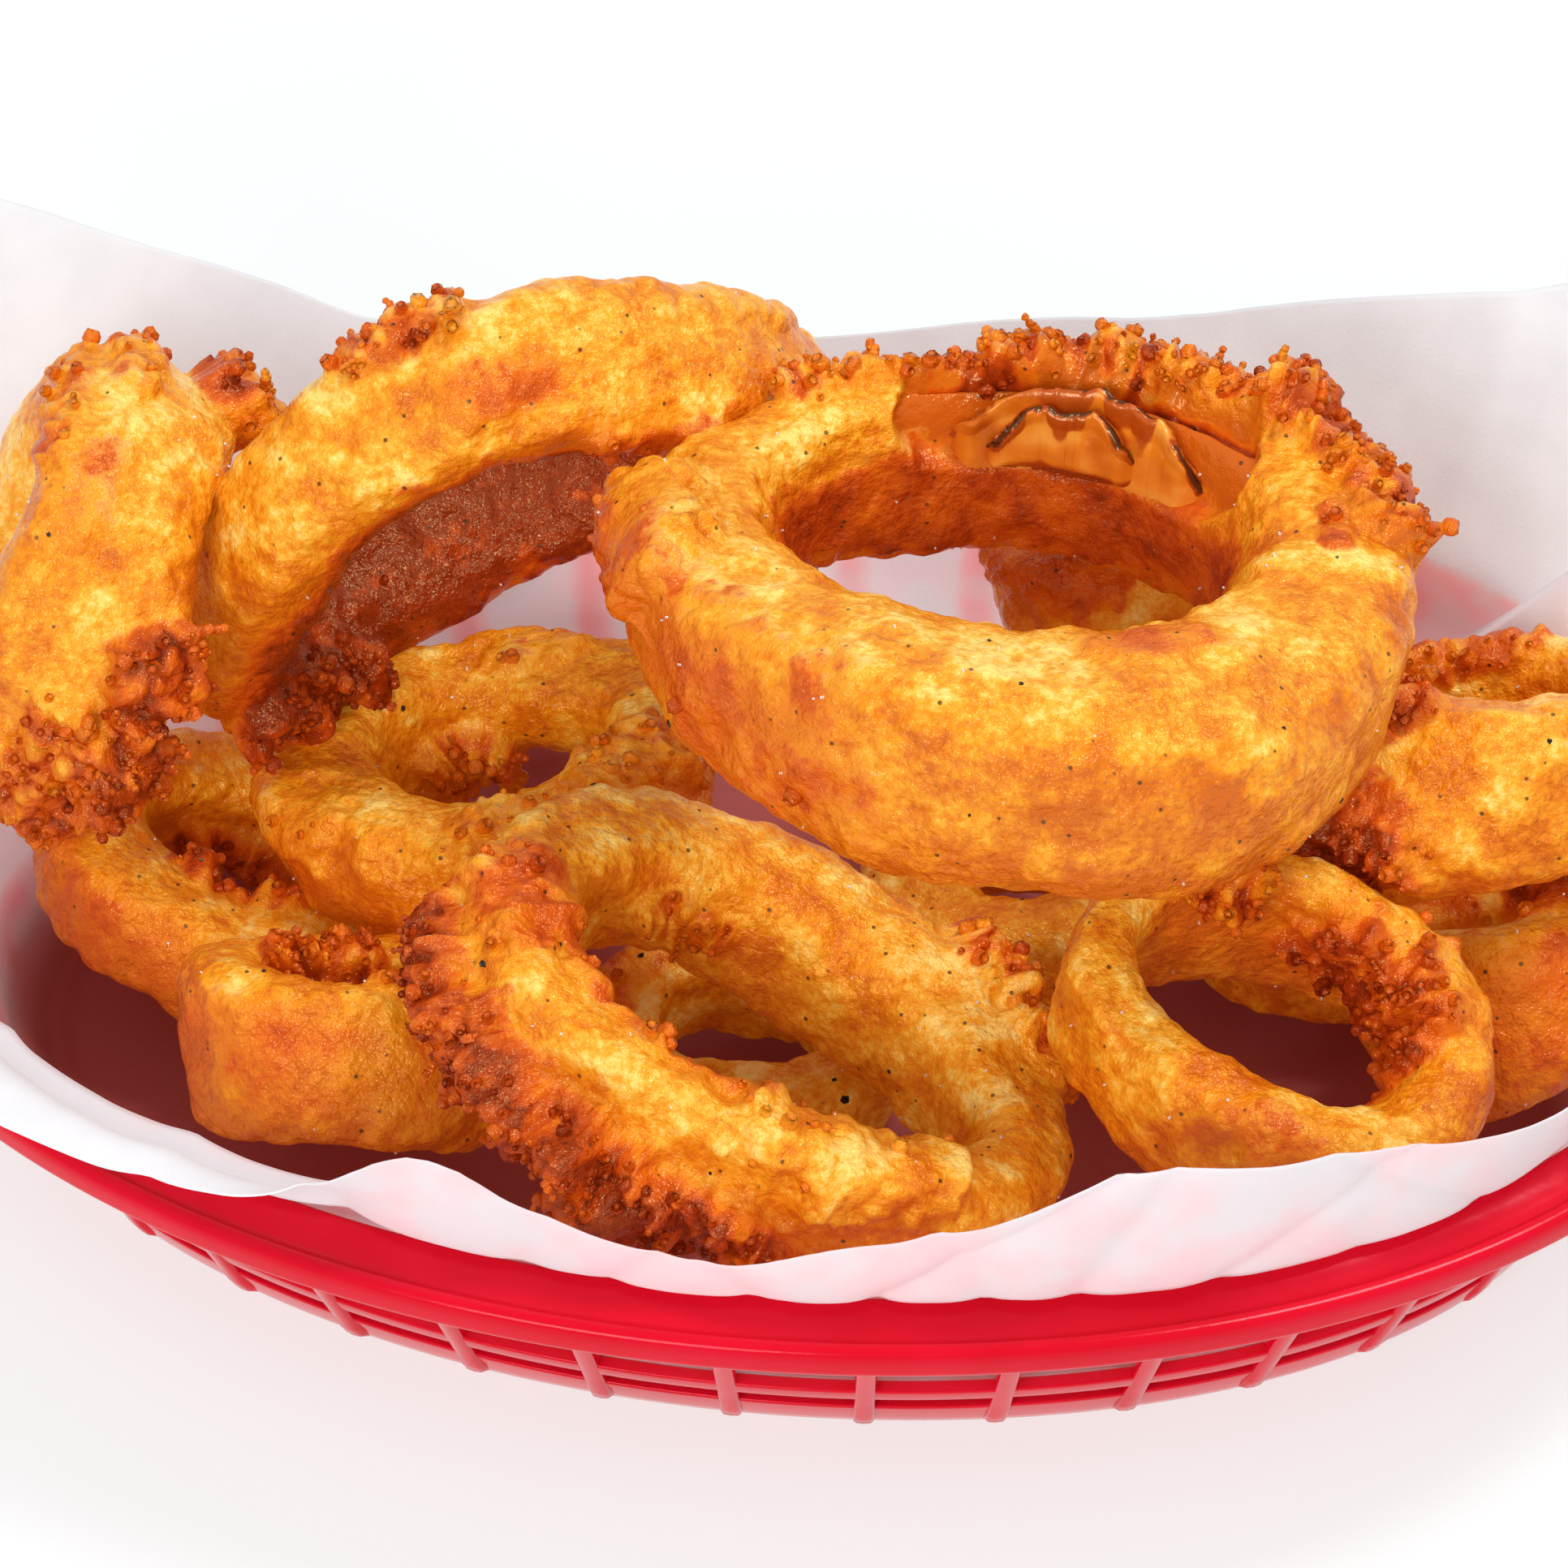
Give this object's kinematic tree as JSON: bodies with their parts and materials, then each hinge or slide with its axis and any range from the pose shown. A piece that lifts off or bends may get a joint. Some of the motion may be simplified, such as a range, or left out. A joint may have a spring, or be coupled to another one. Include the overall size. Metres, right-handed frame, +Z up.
{
  "type": "basket of onion rings",
  "caption": "Battered and fried onion rings heaped in an oval openwork plastic basket lined with a sheet of greaseproof paper that stands up at the back.",
  "frame": {"origin": "middle of the basket's flat underside, on the surface that the basket stands on", "axes": "+X along the basket's long axis to the right as it is served, +Y to the back, where the paper stands tallest, +Z up"},
  "size_m": [0.2632, 0.158, 0.1031],
  "materials": {
    "basket": "glossy red injection-moulded plastic",
    "paper": "thin white greaseproof paper, slightly see-through, creased",
    "batter": "golden fried batter, oily sheen, browned and crumbly in places"
  },
  "bodies": {
    "root": {"basket": "basket", "paper_liner": "paper", "ring_left_leaning": "batter", "ring_back_arch": "batter", "ring_top": "batter", "ring_front_leaning": "batter", "ring_front_right": "batter", "ring_middle_left": "batter", "ring_left_low": "batter", "ring_front_left": "batter", "ring_right_high": "batter", "ring_right_low": "batter", "ring_back_right": "batter", "ring_under_front": "batter", "ring_centre_low": "batter", "ring_right_back_low": "batter"}
  },
  "joints": []
}
